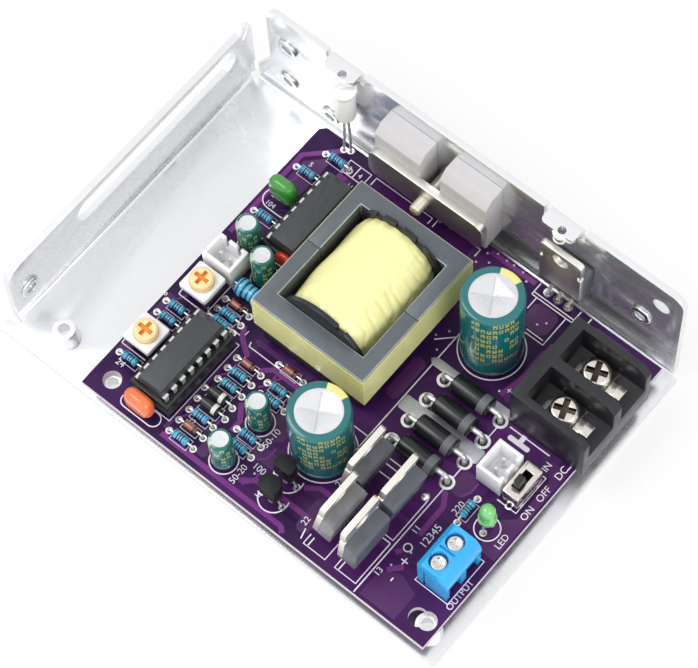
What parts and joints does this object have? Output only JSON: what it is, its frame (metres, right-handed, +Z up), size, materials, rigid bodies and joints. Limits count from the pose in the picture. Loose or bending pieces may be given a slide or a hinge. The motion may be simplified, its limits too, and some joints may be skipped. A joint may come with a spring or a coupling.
{
  "type": "power inverter board",
  "caption": "Inverter circuit board with transformer, capacitors, transistors and screw terminals, in a folded aluminium tray with two walls.",
  "frame": {"origin": "centre of the tray's footprint, on its underside", "axes": "+X along the back wall towards the barrier terminal, +Y towards the back wall, +Z up"},
  "size_m": [0.1148, 0.0804, 0.0325],
  "materials": {
    "tray_aluminium": "satin sheet",
    "nut_steel": "zinc plated",
    "board_laminate": "purple solder mask",
    "ferrite": "matt sintered",
    "bobbin_plastic": "moulded phenolic",
    "winding_tape": "polyester tape",
    "lead_tin": "tinned",
    "can_aluminium": "bright",
    "sleeve_teal": "shrink sleeve",
    "black_moulding": "moulded epoxy",
    "white_nylon": "moulded nylon",
    "orange_dial": "moulded",
    "plated_steel": "nickel plated",
    "blue_plastic": "moulded nylon",
    "led_green": "clear tinted epoxy",
    "silicone_grey": "matt silicone",
    "clamp_brass": "yellow zinc",
    "resistor_blue": "lacquer with colour bands",
    "diode_glass": "clear",
    "dip_orange": "dipped epoxy",
    "dip_green": "dipped epoxy"
  },
  "bodies": {
    "board_in_tray": {"axial_leads": "lead_tin", "black_diode_bodies": "black_moulding", "bulk_capacitor_1_can": "can_aluminium", "bulk_capacitor_1_sleeve": "sleeve_teal", "bulk_capacitor_2_can": "can_aluminium", "bulk_capacitor_2_sleeve": "sleeve_teal", "capped_transistor_cases": "black_moulding", "capped_transistor_frames": "lead_tin", "chassis_tray": "tray_aluminium", "chip_1": "black_moulding", "chip_2": "black_moulding", "chip_legs": "lead_tin", "chip_socket_1": "black_moulding", "chip_socket_2": "black_moulding", "circuit_board": "board_laminate", "clamp_bar": "nut_steel", "clamp_screw": "clamp_brass", "core_half_front": "ferrite", "core_half_rear": "ferrite", "core_tape_band": "winding_tape", "dipped_capacitor_green": "dip_green", "dipped_capacitor_orange": "dip_orange", "glass_diode_bodies": "diode_glass", "header_pins": "lead_tin", "indicator_led": "led_green", "input_terminal_block": "black_moulding", "input_terminal_plates": "plated_steel", "input_terminal_screws": "plated_steel", "output_terminal_block": "blue_plastic", "output_terminal_clamps": "lead_tin", "output_terminal_screws": "plated_steel", "plug_headers": "white_nylon", "power_transistor_cases": "black_moulding", "power_transistor_frames": "lead_tin", "radial_leads": "lead_tin", "rectifier_diode_bodies": "black_moulding", "rectifier_diode_leads": "lead_tin", "resistor_bodies": "resistor_blue", "ringed_resistor": "resistor_blue", "silicone_cap_1": "silicone_grey", "silicone_cap_2": "silicone_grey", "slide_switch_base": "black_moulding", "slide_switch_cover": "plated_steel", "slide_switch_pins": "lead_tin", "small_capacitor_cans": "can_aluminium", "small_capacitor_sleeves": "sleeve_teal", "small_transistors": "black_moulding", "socket_pins": "lead_tin", "thermal_sensor": "white_nylon", "thermal_sensor_legs": "lead_tin", "transformer_bobbin": "bobbin_plastic", "transformer_pins": "lead_tin", "transformer_winding": "winding_tape", "trim_pot_1_body": "white_nylon", "trim_pot_2_body": "white_nylon", "trim_pot_pins": "lead_tin", "wall_clinch_nuts": "nut_steel"},
    "dial_one": {"trim_pot_1_dial": "orange_dial"},
    "dial_two": {"trim_pot_2_dial": "orange_dial"},
    "switch_slider": {"slide_switch_knob": "black_moulding"}
  },
  "joints": [
    {"name": "trim_one_turn", "type": "hinge", "parent": "board_in_tray", "child": "dial_one", "pos_m": [-0.0274, -0.00985, 0.0133], "axis": [0, 0, 1], "range_deg": [-105, 105]},
    {"name": "trim_two_turn", "type": "hinge", "parent": "board_in_tray", "child": "dial_two", "pos_m": [-0.0287, -0.0255, 0.0133], "axis": [0, 0, 1], "range_deg": [-105, 105]},
    {"name": "switch_slide", "type": "slide", "parent": "board_in_tray", "child": "switch_slider", "axis": [0, 1, 0], "range_m": [0, 0.002]}
  ]
}
